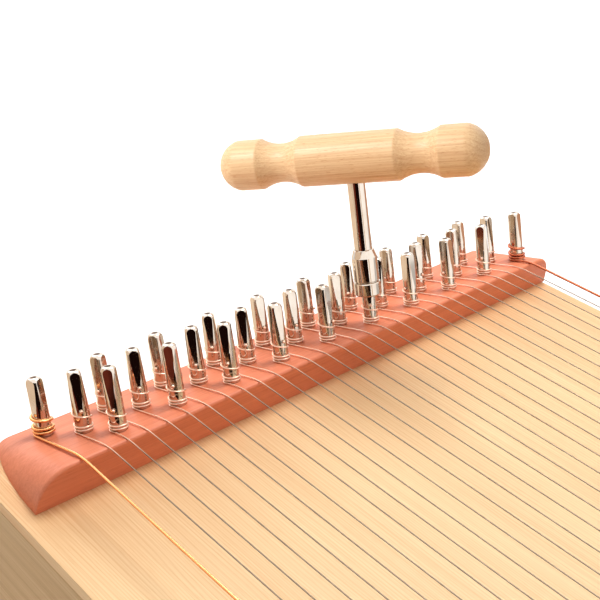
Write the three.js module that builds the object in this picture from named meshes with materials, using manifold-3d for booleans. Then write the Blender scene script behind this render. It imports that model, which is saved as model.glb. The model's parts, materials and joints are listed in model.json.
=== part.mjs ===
// A monochord: a shallow sound box with thirty strings, and the T-shaped key that tunes them.
// Millimetres. +X runs along the strings from the tuning pins to the tail, +Y across them,
// +Z up. The origin is the middle of the underside of the back.

import * as THREE from 'three';
import { mergeVertices } from 'three/addons/utils/BufferGeometryUtils.js';
import Module from 'manifold-3d';

const wasm = await Module();
wasm.setup();

// Sound box
const body_length = 600;
const block_length = 243;
const side_strip = 5;
const back_thickness = 4;
const rim_height = 52;
const rim_thickness = 5;
const soundboard_thickness = 3.5;
const sound_hole_diameter = 54;
const plank_margin = 8;
const tail_plank_depth = 34;
const lining_width = 8;
const lining_height = 9;
const brace_width = 9;
const soundboard_brace_height = 16;
const back_brace_height = 10;
const soundboard_brace_shares = [0.2, 0.4, 0.6, 0.8];
const back_brace_shares = [0.25, 0.5, 0.75];

// Wedge blocks at both ends
const block_depth = 34.5;
const block_far_overhang = 1;
const block_front_height = 12;
const block_slope_deg = 18.3;
const block_near_end_radius = 12;
const block_far_end_radius = 6;
const block_edge_radius = 1;

// Tuning pins, in rows from the block's back edge to its front
const string_count = 30;
const string_band_margin = 14.2;
const string_band_shift = 1;
const back_row_inset = 8.5;
const row_spacing = 8.6;
const row_proud = [18.5, 19.6, 20.3];
const pin_sunk = 21.5;
const pin_diameter = 5.2;
const pin_top_diameter = 5.1;
const pin_flat_width = 4.2;
const pin_flat_foot = 6.6;
const pin_dome_height = 1.3;
const pin_dome_diameter = 2;
const pin_point_height = 1.2;
const pin_point_diameter = 3.6;
const pin_hole_height = 7.2;
const pin_hole_diameter = 1.2;

// Strings
const plain_diameter = 0.45;
const bass_diameter = 1;
const string_lift = 0.3;
const string_bend_radius = 14;
const winding_foot = 0.3;
const plain_winding_pitch = 1.1;
const bass_winding_pitch = 1.5;
const winding_clearance = 0.12;
const tight_turns = 2;
const whole_turns = 3;
const hitch_rod_diameter = 4;
const hitch_rod_inset = 12;
const hitch_rod_overhang = 6;

// Where each pin stopped when its string came to pitch: the share of a turn past the whole turns
const last_turn_shares = [
  0.43, 0.32, 0.37, 0.42, 0.32, 0.38, 0.42, 0.36, 0.38, 0.36,
  0.35, 0.28, 0.29, 0.3, 0.22, 0.19, 0.33, 0.36, 0.38, 0.36,
  0.49, 0.45, 0.28, 0.48, 0.5, 0.44, 0.42, 0.46, 0.5, 0.48,
];

// How far each string stands from its even place toward the far side, as a share of the pitch
const string_shift_shares = [
  0.05, 0.21, 0.1, 0.07, 0.06, 0.09, 0.06, 0.16, 0.05, 0.02,
  0, 0, 0, 0, 0, 0, 0, 0, 0, 0,
  0, 0, 0, 0, 0, 0, 0, 0, 0, 0,
];

// Tuning key, with heights along the axis of its pin from the block's surface
const keyed_string = 17;
const key_handle_height = 60.6;
const key_handle_turn_deg = 28.3;
const key_handle_shift = -1.1;
const key_handle_length = 98;
const key_handle_diameter = 18.2;
const key_waist_diameter = 13.8;
const key_shaft_diameter = 6.4;
const key_shaft_tenon = 4;
const key_socket_foot = 10.7;
const key_ring_height = 5;
const key_ring_diameter = 9.8;
const key_socket_top = 24.9;
const key_socket_diameter = 9.3;
const key_cone_height = 2.7;
const key_cone_diameter = 7.2;
const key_groove_width = 0.5;
const key_groove_depth = 0.35;
const key_edge_break = 0.5;
const key_shaft_seat = 2.2;
const key_head_room = 0.8;

// The handle's half profile, from its middle to a knob's end: places along the half length,
// then radii between the waist and the knob, then radii over the knob's dome
const handle_length_shares = [
  0, 0.36, 0.4, 0.445, 0.485, 0.545, 0.585, 0.63, 0.67, 0.86, 0.9, 0.95, 0.985, 1,
];
const handle_rise_shares = [1, 1, 0.54, 0.2, 0.04, 0.04, 0.2, 0.54, 1, 1];
const handle_dome_shares = [0.91, 0.7, 0.4, 0];

// Gaps, cuts and facets
const glue_line = 0.3;
const running_gap = 0.3;
const overrun = 10;
const pin_sides = 10;
const bore_sides = 6;
const hole_sides = 6;
const winding_steps = 8;
const plain_sides = 4;
const bass_sides = 4;
const round_sides = 20;
const rod_sides = 12;
const square_sides = 4;
const fillet_steps = 4;
const string_bend_steps = 2;
const gap_samples = 4;

// Values that follow from the sizes
const slope = THREE.MathUtils.degToRad(block_slope_deg);
const body_width = block_length + side_strip - block_far_overhang;
const head_x = -body_length / 2;
const tail_x = body_length / 2;
const near_y = -body_width / 2;
const far_y = body_width / 2;
const rim_z = back_thickness + glue_line;
const rim_top_z = rim_z + rim_height;
const board_z = rim_top_z + glue_line;
const board_top_z = board_z + soundboard_thickness;
const block_z = board_top_z + glue_line;
const block_centre_y = far_y + block_far_overhang - block_length / 2;
const front_x = head_x + block_depth;
const string_pitch = (block_length - 2 * string_band_margin) / (string_count - 1);
const row_count = row_proud.length;
const last_row_x = head_x + back_row_inset + (row_count - 1) * row_spacing;
const head_plank_depth = last_row_x - head_x + pin_sunk * Math.sin(slope) + plank_margin;
const inner_length = body_length - head_plank_depth - tail_plank_depth - 2 * glue_line;
const inner_start_x = head_x + head_plank_depth + glue_line;
const inner_width = body_width - 2 * rim_thickness - 2 * glue_line;
const brace_length = inner_width - 2 * lining_width - 2 * glue_line;
const up = new THREE.Vector3(0, 0, 1);

// Finishes
const spruce = finish(0xf4d9a6, 0.55, 0);
const red_wood = finish(0xc9714f, 0.5, 0);
const maple = finish(0xd9b98a, 0.6, 0);
const beech = finish(0xf0c896, 0.45, 0);
const nickel = finish(0xc9c5bd, 0.18, 1);
const steel = finish(0xb9b4ac, 0.3, 1);
const bronze = finish(0xc79a4e, 0.3, 1);
const copper = finish(0xb5643a, 0.3, 1);

function finish(color, roughness, metalness) {
  return new THREE.MeshStandardMaterial({ color, roughness, metalness });
}

// Solids
function solidOf(geometry) {
  const bare = geometry.clone();
  bare.deleteAttribute('normal');
  bare.deleteAttribute('uv');
  const merged = mergeVertices(bare);
  return new wasm.Manifold(new wasm.Mesh({
    numProp: 3,
    vertProperties: new Float32Array(merged.attributes.position.array),
    triVerts: new Uint32Array(merged.index.array),
  }));
}

function geometryOf(solid) {
  const mesh = solid.getMesh();
  const geometry = new THREE.BufferGeometry();
  geometry.setAttribute('position', new THREE.BufferAttribute(mesh.vertProperties, 3));
  geometry.setIndex(new THREE.BufferAttribute(mesh.triVerts, 1));
  return geometry;
}

function cylinder(radius, low, high, sides) {
  const geometry = new THREE.CylinderGeometry(radius, radius, high - low, sides);
  geometry.rotateX(Math.PI / 2);
  geometry.translate(0, 0, (low + high) / 2);
  return geometry;
}

// A four sided taper round +Z, given by its widths across the flats.
function squareTaper(low_width, high_width, low, high) {
  const geometry = new THREE.CylinderGeometry(
    high_width / Math.SQRT2, low_width / Math.SQRT2, high - low, square_sides);
  geometry.rotateY(Math.PI / 4);
  geometry.rotateX(Math.PI / 2);
  geometry.translate(0, 0, (low + high) / 2);
  return geometry;
}

function lathe(profile, sides) {
  const geometry = new THREE.LatheGeometry(profile.map(([r, z]) => new THREE.Vector2(r, z)), sides);
  geometry.rotateX(Math.PI / 2);
  return geometry;
}

// A bore's corner radius, so that its flats clear a round piece of the given radius.
function boreRadius(radius, gap, sides) {
  return (radius + gap) / Math.cos(Math.PI / sides);
}

// Each joint of the tube is mitred, so its section stays the same along every straight run.
function tubeAlong(points, radius, sides) {
  const positions = [];
  const indices = [];
  const directions = points.slice(1).map((p, i) => p.clone().sub(points[i]).normalize());
  const side = new THREE.Vector3().crossVectors(directions[0], up).normalize();
  const rise = new THREE.Vector3().crossVectors(side, directions[0]);
  let offsets = Array.from({ length: sides }, (_, k) => {
    const angle = (2 * Math.PI * (k + 0.5)) / sides;
    return side.clone().multiplyScalar(radius * Math.cos(angle))
      .addScaledVector(rise, radius * Math.sin(angle));
  });
  points.forEach((point, i) => {
    const before = directions[Math.max(i - 1, 0)];
    const after = directions[Math.min(i, directions.length - 1)];
    const mitre = before.clone().add(after).normalize();
    offsets = offsets.map((o) => o.clone().addScaledVector(before, -o.dot(mitre) / before.dot(mitre)));
    offsets.forEach((o) => positions.push(point.x + o.x, point.y + o.y, point.z + o.z));
    offsets = offsets.map((o) => o.clone().addScaledVector(after, -o.dot(after)));
  });
  for (let i = 0; i < points.length - 1; i += 1) {
    for (let k = 0; k < sides; k += 1) {
      const a = i * sides + k;
      const b = i * sides + ((k + 1) % sides);
      indices.push(a, b + sides, b, a, a + sides, b + sides);
    }
  }
  const last = (points.length - 1) * sides;
  for (let k = 1; k < sides - 1; k += 1) {
    indices.push(0, k, k + 1, last, last + k + 1, last + k);
  }
  const geometry = new THREE.BufferGeometry();
  geometry.setAttribute('position', new THREE.Float32BufferAttribute(positions, 3));
  geometry.setIndex(indices);
  return geometry;
}

// Wedge blocks, drawn for the head end and turned round for the tail: the side view gives the
// slope and the rounded string edge, and a bar laid along the slope rounds both ends.
function surfaceHeight(x) {
  return block_front_height - (front_x - x) * Math.tan(slope);
}

function edgeArcCentre() {
  const x = front_x - block_edge_radius;
  return new THREE.Vector2(x, surfaceHeight(x) - block_edge_radius / Math.cos(slope));
}

// Points of an arc over the string edge, from square to the slope to the given last angle.
function edgeArc(centre, radius, last_angle, steps) {
  const first_angle = Math.PI / 2 + slope;
  return Array.from({ length: steps + 1 }, (_, i) => {
    const angle = first_angle + ((last_angle - first_angle) * i) / steps;
    return new THREE.Vector2(
      centre.x + radius * Math.cos(angle), centre.y + radius * Math.sin(angle));
  });
}

// A stiff string bends more gently than the edge that it lies on: the middle of its bend clears
// the edge by the string's lift.
function bendCentre(lift) {
  const middle_angle = (Math.PI + slope) / 2;
  const back = string_bend_radius - block_edge_radius - lift;
  const centre = edgeArcCentre();
  return new THREE.Vector2(
    centre.x - back * Math.cos(middle_angle), centre.y - back * Math.sin(middle_angle));
}

function wedge(turn, low_end_radius, high_end_radius) {
  const outline = [
    new THREE.Vector2(head_x, 0),
    new THREE.Vector2(head_x, surfaceHeight(head_x)),
    ...edgeArc(edgeArcCentre(), block_edge_radius, 0, fillet_steps),
    new THREE.Vector2(front_x, 0),
  ];
  const side_view = new THREE.ExtrudeGeometry(new THREE.Shape(outline), {
    depth: block_length, bevelEnabled: false, steps: 1,
  });
  side_view.rotateX(Math.PI / 2);
  side_view.translate(0, block_length / 2, 0);
  const half = block_length / 2;
  const foot = -block_front_height - overrun;
  const end_view = new THREE.Shape();
  end_view.moveTo(-half, foot);
  end_view.lineTo(half, foot);
  end_view.lineTo(half, -high_end_radius);
  end_view.absarc(half - high_end_radius, -high_end_radius, high_end_radius, 0, Math.PI / 2);
  end_view.absarc(-half + low_end_radius, -low_end_radius, low_end_radius, Math.PI / 2, Math.PI);
  const reach = block_depth / Math.cos(slope) + 2 * overrun;
  const bar = new THREE.ExtrudeGeometry(end_view, {
    depth: reach, bevelEnabled: false, steps: 1, curveSegments: 2 * fillet_steps,
  });
  bar.rotateX(Math.PI / 2);
  bar.rotateZ(Math.PI / 2);
  bar.translate(-reach + overrun, 0, 0);
  bar.rotateY(-slope);
  bar.translate(front_x, 0, block_front_height);
  const block = geometryOf(solidOf(side_view).intersect(solidOf(bar)));
  block.rotateZ(turn);
  block.translate(0, block_centre_y, block_z);
  return solidOf(block);
}

// Where a string's pin stands: a frame with +Z along the pin and +X up the slope.
function pinFrame(index) {
  const x = head_x + back_row_inset + (index % row_count) * row_spacing;
  const frame = new THREE.Matrix4().makeRotationY(-slope);
  return frame.setPosition(x, pinY(index), block_z + surfaceHeight(x));
}

function pinY(index) {
  return stringY(index) + windingRadius(plain_diameter);
}

function stringY(index) {
  const shift = string_shift_shares[index % string_shift_shares.length];
  const place = index - (string_count - 1) / 2 + shift;
  return block_centre_y + string_band_shift + place * string_pitch;
}

function isBass(index) {
  return index === 0 || index === string_count - 1;
}

function stringDiameter(index) {
  return isBass(index) ? bass_diameter : plain_diameter;
}

function windingRadius(diameter) {
  return boreRadius((pin_diameter + diameter) / 2, winding_clearance, winding_steps);
}

function windingTurns(index) {
  return whole_turns + last_turn_shares[index % last_turn_shares.length];
}

function holeAngle(index) {
  return -Math.PI / 2 - 2 * Math.PI * windingTurns(index);
}

function pinGeometry(index) {
  const top = row_proud[index % row_count];
  const shoulder = top - pin_dome_height;
  const shank = lathe([
    [0, -pin_sunk],
    [pin_point_diameter / 2, -pin_sunk],
    [pin_diameter / 2, -pin_sunk + pin_point_height],
    [pin_diameter / 2, pin_flat_foot],
    [pin_top_diameter / 2, shoulder],
    [pin_dome_diameter / 2, top],
    [0, top],
  ], pin_sides);
  const flat_fall = (pin_diameter - pin_flat_width) / (shoulder - pin_flat_foot);
  const low = -pin_sunk - overrun;
  const high = top + overrun;
  const flats = squareTaper(
    pin_diameter + (pin_flat_foot - low) * flat_fall,
    pin_diameter + (pin_flat_foot - high) * flat_fall, low, high);
  const hole = cylinder(pin_hole_diameter / 2, -pin_diameter, pin_diameter, hole_sides);
  hole.rotateY(Math.PI / 2);
  hole.translate(0, 0, pin_hole_height);
  const pin = geometryOf(solidOf(shank).intersect(solidOf(flats)).subtract(solidOf(hole)));
  return pin.rotateZ(holeAngle(index));
}

// The winding starts where the string leaves the pin, climbs in tight turns and then one open
// turn, and its end runs straight toward the pin's hole.
function windingPath(index) {
  const diameter = stringDiameter(index);
  const pitch = isBass(index) ? bass_winding_pitch : plain_winding_pitch;
  const radius = windingRadius(diameter);
  const first_height = winding_foot + diameter / 2;
  const open_height = first_height + tight_turns * pitch;
  const turns = windingTurns(index);
  const open_turns = turns - tight_turns;
  const steps = Math.round(turns * winding_steps);
  const path = [];
  for (let i = 0; i <= steps; i += 1) {
    const turn = (turns * i) / steps;
    const open = Math.max(turn - tight_turns, 0) / open_turns;
    const tight_height = first_height + Math.min(turn, tight_turns) * pitch;
    const height = tight_height + (pin_hole_height - open_height) * open;
    const reach = radius + diameter * open * open;
    const angle = -Math.PI / 2 - 2 * Math.PI * turn;
    path.push(new THREE.Vector3(reach * Math.cos(angle), reach * Math.sin(angle), height));
  }
  const end_reach = pin_diameter / 2 + running_gap;
  const end_angle = holeAngle(index);
  path.push(new THREE.Vector3(
    end_reach * Math.cos(end_angle), end_reach * Math.sin(end_angle), pin_hole_height));
  return path.reverse();
}

// The rest of the string: over the head edge, level to the tail edge, and down to the rod.
function stringPath(index) {
  const frame = pinFrame(index);
  const path = windingPath(index).map((point) => point.applyMatrix4(frame));
  const y = path[path.length - 1].y;
  const lift = string_lift + stringDiameter(index) / 2;
  const arc = edgeArc(bendCentre(lift), string_bend_radius, Math.PI / 2, string_bend_steps);
  const head = arc.map((p) => new THREE.Vector3(p.x, y, block_z + p.y));
  const tail = head.map((p) => new THREE.Vector3(-p.x, p.y, p.z)).reverse();
  const rod = rodCentre();
  const rod_reach = isBass(index) ? hitch_rod_diameter / 2 + running_gap : 0;
  const end = new THREE.Vector3(
    rod.x - rod_reach * Math.cos(slope) + lift * Math.sin(slope), y,
    rod.z + rod_reach * Math.sin(slope) + lift * Math.cos(slope));
  return [...path, ...head, ...tail, end];
}

// The rod lies half sunk in the tail wedge's slope.
function rodCentre() {
  const x = tail_x - hitch_rod_inset;
  return new THREE.Vector3(x, 0, block_z + surfaceHeight(-x));
}

function rodSolid(radius, overhang) {
  const low = stringY(0) - hitch_rod_overhang - overhang;
  const high = stringY(string_count - 1) + hitch_rod_overhang + overhang;
  const rod = cylinder(radius, -high, -low, rod_sides);
  rod.rotateX(Math.PI / 2);
  const centre = rodCentre();
  rod.translate(centre.x, 0, centre.z);
  return solidOf(rod);
}

// The least space between a winding's neighbouring turns, measured on points along it.
function leastGap(path, diameter) {
  const samples = [];
  path.slice(1).forEach((p, i) => {
    for (let k = 0; k < gap_samples; k += 1) {
      samples.push(path[i].clone().lerp(p, k / gap_samples));
    }
  });
  const half_turn = (winding_steps * gap_samples) / 2;
  let least = Infinity;
  samples.forEach((p, i) => {
    samples.slice(i + half_turn).forEach((q) => {
      least = Math.min(least, p.distanceTo(q) - diameter);
    });
  });
  return least;
}

// Tuning key
function halfProfile() {
  const half = key_handle_length / 2;
  const full = key_handle_diameter / 2;
  const waist = key_waist_diameter / 2;
  const rises = handle_rise_shares.map((share) => waist + (full - waist) * share);
  const domes = handle_dome_shares.map((share) => full * share);
  const radii = [...rises, ...domes];
  return handle_length_shares.map((share, i) => [radii[i], half * share]);
}

function keyHandle() {
  const half = halfProfile();
  const other_half = half.slice(1).map(([r, z]) => [r, -z]).reverse();
  const body = lathe([...other_half, ...half], round_sides);
  body.rotateY(Math.PI / 2);
  body.translate(key_handle_shift, 0, 0);
  body.rotateZ(THREE.MathUtils.degToRad(key_handle_turn_deg));
  body.translate(0, 0, key_handle_height);
  const bore = cylinder(
    boreRadius(key_shaft_diameter / 2, running_gap, rod_sides),
    key_handle_height - key_handle_diameter,
    key_handle_height + key_shaft_tenon + running_gap, rod_sides);
  return solidOf(body).subtract(solidOf(bore));
}

function keyShaftFoot() {
  return key_socket_top + key_cone_height - key_shaft_seat - key_shaft_diameter / 2;
}

function keyShaft() {
  return solidOf(cylinder(
    key_shaft_diameter / 2, keyShaftFoot(), key_handle_height + key_shaft_tenon, rod_sides));
}

function keySocket() {
  const ring = key_ring_diameter / 2;
  const body = key_socket_diameter / 2;
  const ring_top = key_socket_foot + key_ring_height;
  const groove = body - key_groove_depth;
  const outer = lathe([
    [0, key_socket_foot],
    [ring - key_edge_break, key_socket_foot],
    [ring, key_socket_foot + key_edge_break],
    [ring, ring_top - key_groove_width],
    [groove, ring_top],
    [body, ring_top + key_groove_width],
    [body, key_socket_top],
    [key_cone_diameter / 2, key_socket_top + key_cone_height],
    [0, key_socket_top + key_cone_height],
  ], round_sides);
  const top = row_proud[keyed_string % row_count];
  const flat_fall = (pin_diameter - pin_flat_width) / (top - pin_dome_height - pin_flat_foot);
  const low = key_socket_foot - overrun;
  const high = top + key_head_room;
  const widthAt = (height) => pin_diameter + 2 * running_gap + (pin_flat_foot - height) * flat_fall;
  const square = squareTaper(widthAt(low), widthAt(high), low, high);
  square.rotateZ(holeAngle(keyed_string));
  const seat = cylinder(
    boreRadius(key_shaft_diameter / 2, running_gap, rod_sides),
    keyShaftFoot() - running_gap, key_socket_top + key_cone_height + overrun, rod_sides);
  return solidOf(outer).subtract(solidOf(square)).subtract(solidOf(seat));
}

// Sound box
function boxSolid(x, y, z, length, width, height) {
  const box = new THREE.BoxGeometry(length, width, height);
  box.translate(x + length / 2, y + width / 2, z + height / 2);
  return solidOf(box);
}

function pinBores() {
  let bores = null;
  for (let index = 0; index < string_count; index += 1) {
    const radius = boreRadius(pin_diameter / 2, running_gap, bore_sides);
    const bore = cylinder(radius, -pin_sunk - running_gap, overrun, bore_sides);
    const solid = solidOf(bore.applyMatrix4(pinFrame(index)));
    bores = bores === null ? solid : bores.add(solid);
  }
  return bores;
}

function plainStrings() {
  let strings = rodSolid(hitch_rod_diameter / 2, 0);
  for (let index = 1; index < string_count - 1; index += 1) {
    strings = strings.add(solidOf(tubeAlong(stringPath(index), plain_diameter / 2, plain_sides)));
  }
  return strings;
}

function bassString(index) {
  return solidOf(tubeAlong(stringPath(index), bass_diameter / 2, bass_sides));
}

const group = new THREE.Group();

function addPiece(name, geometry, material, parent) {
  const mesh = new THREE.Mesh(geometry, material);
  mesh.name = name;
  parent.add(mesh);
}

function addSolid(name, solid, material, parent = group) {
  addPiece(name, geometryOf(solid), material, parent);
}

function addSoundBox(bores) {
  const hole = solidOf(cylinder(
    sound_hole_diameter / 2, board_z - overrun, board_top_z + overrun, round_sides));
  const board = boxSolid(head_x, near_y, board_z, body_length, body_width, soundboard_thickness);
  addSolid('soundboard', board.subtract(hole).subtract(bores), spruce);
  addSolid('back', boxSolid(head_x, near_y, 0, body_length, body_width, back_thickness), maple);
  const rim = (y) => boxSolid(head_x, y, rim_z, body_length, rim_thickness, rim_height);
  addSolid('near_rim', rim(near_y), maple);
  addSolid('far_rim', rim(far_y - rim_thickness), maple);
  const inner_y = near_y + rim_thickness + glue_line;
  const plank = (x, depth) => boxSolid(x, inner_y, rim_z, depth, inner_width, rim_height);
  addSolid('pin_plank', plank(head_x, head_plank_depth).subtract(bores), maple);
  addSolid('tail_plank', plank(tail_x - tail_plank_depth, tail_plank_depth), maple);
}

function addLiningsAndBraces() {
  const inner_y = near_y + rim_thickness + glue_line;
  const run = inner_length - 2 * glue_line;
  const lining = (y, z) => boxSolid(
    inner_start_x + glue_line, y, z, run, lining_width, lining_height);
  const far_lining_y = inner_y + inner_width - lining_width;
  const high_z = rim_top_z - lining_height;
  addSolid('near_top_lining', lining(inner_y, high_z), maple);
  addSolid('far_top_lining', lining(far_lining_y, high_z), maple);
  addSolid('near_back_lining', lining(inner_y, rim_z), maple);
  addSolid('far_back_lining', lining(far_lining_y, rim_z), maple);
  const brace_y = inner_y + lining_width + glue_line;
  const brace = (share, z, height) => boxSolid(
    inner_start_x + inner_length * share - brace_width / 2, brace_y, z,
    brace_width, brace_length, height);
  soundboard_brace_shares.forEach((share, i) => addSolid(
    `soundboard_brace_${i + 1}`,
    brace(share, rim_top_z - soundboard_brace_height, soundboard_brace_height), spruce));
  back_brace_shares.forEach((share, i) => addSolid(
    `back_brace_${i + 1}`, brace(share, rim_z, back_brace_height), spruce));
}

function addBlocks(bores) {
  const head = wedge(0, block_near_end_radius, block_far_end_radius);
  const tail = wedge(Math.PI, block_far_end_radius, block_near_end_radius);
  const groove = rodSolid(boreRadius(hitch_rod_diameter / 2, running_gap, rod_sides), running_gap);
  addSolid('pin_block', head.subtract(bores), red_wood);
  addSolid('tail_block', tail.subtract(groove), red_wood);
}

function addPins() {
  for (let index = 0; index < string_count; index += 1) {
    const number = String(index + 1).padStart(2, '0');
    const stand = new THREE.Group();
    stand.applyMatrix4(pinFrame(index));
    group.add(stand);
    addPiece(`tuning_pin_${number}`, pinGeometry(index), nickel, stand);
  }
}

function addStrings() {
  addSolid('plain_strings', plainStrings(), steel);
  addSolid('bronze_string', bassString(0), bronze);
  addSolid('copper_string', bassString(string_count - 1), copper);
  const gaps = Array.from({ length: string_count }, (_, index) => (
    leastGap(windingPath(index), stringDiameter(index))));
  console.log(`least gap between a winding's turns ${Math.min(...gaps).toFixed(2)} mm`);
}

function addKey() {
  const stand = new THREE.Group();
  stand.applyMatrix4(pinFrame(keyed_string));
  group.add(stand);
  addSolid('key_handle', keyHandle(), beech, stand);
  addSolid('key_shaft', keyShaft(), nickel, stand);
  addSolid('key_socket', keySocket(), nickel, stand);
}

const bores = pinBores();
addSoundBox(bores);
addLiningsAndBraces();
addBlocks(bores);
addPins();
addStrings();
addKey();

export default group;
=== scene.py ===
# A monochord: thirty strings over a shallow sound box, and the key that tunes them.
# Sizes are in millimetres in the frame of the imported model; MM turns them to metres.
# CAP_RADIUS is the size of the small flat cap in the middle of a turned piece's end.

import json
import logging
import math
from dataclasses import dataclass, field
from enum import Enum

import bpy
import numpy as np
from mathutils import Matrix, Vector


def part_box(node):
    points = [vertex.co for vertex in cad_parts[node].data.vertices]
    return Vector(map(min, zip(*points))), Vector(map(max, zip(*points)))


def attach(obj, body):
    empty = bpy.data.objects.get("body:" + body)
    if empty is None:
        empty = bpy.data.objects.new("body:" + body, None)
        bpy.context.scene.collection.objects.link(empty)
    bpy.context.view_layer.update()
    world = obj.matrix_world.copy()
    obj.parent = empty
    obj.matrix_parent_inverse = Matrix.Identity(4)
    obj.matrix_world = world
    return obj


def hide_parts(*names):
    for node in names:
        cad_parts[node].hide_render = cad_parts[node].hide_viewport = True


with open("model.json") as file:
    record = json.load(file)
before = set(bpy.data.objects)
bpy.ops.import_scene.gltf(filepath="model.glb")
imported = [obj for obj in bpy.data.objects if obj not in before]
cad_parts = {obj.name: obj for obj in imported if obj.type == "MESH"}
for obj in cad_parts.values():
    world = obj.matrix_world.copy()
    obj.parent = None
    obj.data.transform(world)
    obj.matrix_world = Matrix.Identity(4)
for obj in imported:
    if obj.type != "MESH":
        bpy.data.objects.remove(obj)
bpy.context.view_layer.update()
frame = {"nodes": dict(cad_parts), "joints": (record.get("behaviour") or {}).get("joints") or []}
MM = 0.001
CAP_RADIUS = 0.05
SHARP_DEG = 30.0
WIRE_SHARP_DEG = 60.0
STRING_COUNT = 30
KEYED_PIN = 17
OWN_PLACE = "own_place"
PIN_JOINTS = {joint["name"]: joint for joint in frame["joints"]}
PIN_AXIS = Vector(PIN_JOINTS["pin_01_turn"]["axis"]).normalized()
SLOPE = math.atan2(-PIN_AXIS.x, PIN_AXIS.z)
Pair = tuple[float, float]
Triple = tuple[float, float, float]
Colour = tuple[float, float, float, float]
Piece = bpy.types.Object
Material = bpy.types.Material
Socket = bpy.types.NodeSocket
log = logging.getLogger("monochord")


class Grain(Enum):
    """The direction that fibres run in, as a turn that brings it to X: OWN is a turned piece's axis."""

    ALONG_X = (0.0, 0.0, 0.0)
    ALONG_Y = (0.0, 0.0, -math.pi / 2)
    OWN = (0.0, math.pi / 2, 0.0)


class Slot(Enum):
    """The record's material slots."""

    SPRUCE = "spruce"
    RED_WOOD = "red_wood"
    MAPLE = "maple"
    BEECH = "beech"
    NICKEL = "nickel"
    STEEL = "steel"
    BRONZE = "bronze"
    COPPER = "copper"


def shade(red: float, green: float, blue: float) -> Colour:
    """Turns shares of 0 to 255, as a screen shows a colour, into Blender's linear light."""
    linear = [
        c / 12.92 if c <= 0.04045 else ((c + 0.055) / 1.055) ** 2.4
        for c in (red / 255, green / 255, blue / 255)]
    return (*linear, 1.0)


class Graph:
    """The node tree of a new material or world, with short ways to add nodes and wire them."""

    # The Mix node's colour sockets share their names with its other ones, so they go by number.
    FIRST, SECOND, MIXED = 6, 7, 2

    def __init__(self, owner: Material | bpy.types.World) -> None:
        """Empties the owner's node tree.

        Args:
            owner: The material or the world.
        """
        owner.use_nodes = True
        self.owner, self.tree = owner, owner.node_tree
        self.tree.nodes.clear()

    def node(self, kind: str, inputs: dict | None = None, **settings: object) -> bpy.types.Node:
        """Adds a node.

        Args:
            kind: The node's type without its ShaderNode prefix.
            inputs: Values or sockets by input name or number.
            settings: The node's own settings.

        Returns:
            The new node.
        """
        made = self.tree.nodes.new("ShaderNode" + kind)
        for name, value in settings.items():
            setattr(made, name, value)
        for name, value in (inputs or {}).items():
            if isinstance(value, Socket):
                self.tree.links.new(value, made.inputs[name])
            else:
                made.inputs[name].default_value = value
        return made

    def math(self, operation: str, *values: Socket | float) -> Socket:
        """Adds a Math node of one to three values, and gives its result."""
        return self.node("Math", dict(enumerate(values)), operation=operation).outputs[0]

    def noise(self, point: Socket, sizes: Triple, detail: float,
              seed: float = 0.0) -> Socket:
        """Adds smooth noise with its own grain size along each axis.

        Args:
            point: Coordinates in millimetres.
            sizes: The noise's size along each axis, in millimetres.
            detail: How many finer layers are added.
            seed: A shift that gives another part of the noise.

        Returns:
            The noise's value, about 0.5 in the mean.
        """
        scaled = self.node("Mapping", {
            "Vector": point, "Scale": tuple(1 / size for size in sizes), "Location": (seed,) * 3})
        return self.node("TexNoise", {
            "Vector": scaled.outputs[0], "Scale": 1.0, "Detail": detail}).outputs[0]

    def ramp(self, value: Socket, low: float, high: float) -> Socket:
        """Stretches the range from low to high over 0 to 1, and clamps it."""
        return self.node("MapRange", {
            "Value": value, "From Min": low, "From Max": high}, clamp=True).outputs[0]

    def blend(self, share: Socket, first: Socket | Colour, second: Socket | Colour) -> Socket:
        """Mixes two colours, with the second one's share."""
        inputs = {"Factor": share, self.FIRST: first, self.SECOND: second}
        return self.node("Mix", inputs, data_type="RGBA").outputs[self.MIXED]

    def point(self, place: Socket, grain: Grain = Grain.ALONG_X) -> Socket:
        """Turns a place in metres into millimetres, with the fibres along X."""
        return self.node("Mapping", {
            "Vector": place, "Rotation": grain.value, "Scale": (1 / MM,) * 3}).outputs[0]

    def along(self, point: Socket, axis: str = "X") -> Socket:
        """Gives one of a point's coordinates."""
        return self.node("SeparateXYZ", {"Vector": point}).outputs[axis]

    def bump(self, height: Socket, strength: float, distance: float) -> Socket:
        """Turns a height into a bumped normal, with the distance in millimetres."""
        return self.node("Bump", {
            "Height": height, "Strength": strength, "Distance": distance * MM}).outputs[0]

    def finish(self, shader: bpy.types.Node,
               output: str = "OutputMaterial") -> Material | bpy.types.World:
        """Wires a shader to the surface, and gives the finished material or world."""
        self.node(output, {"Surface": shader.outputs[0]})
        return self.owner


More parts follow.
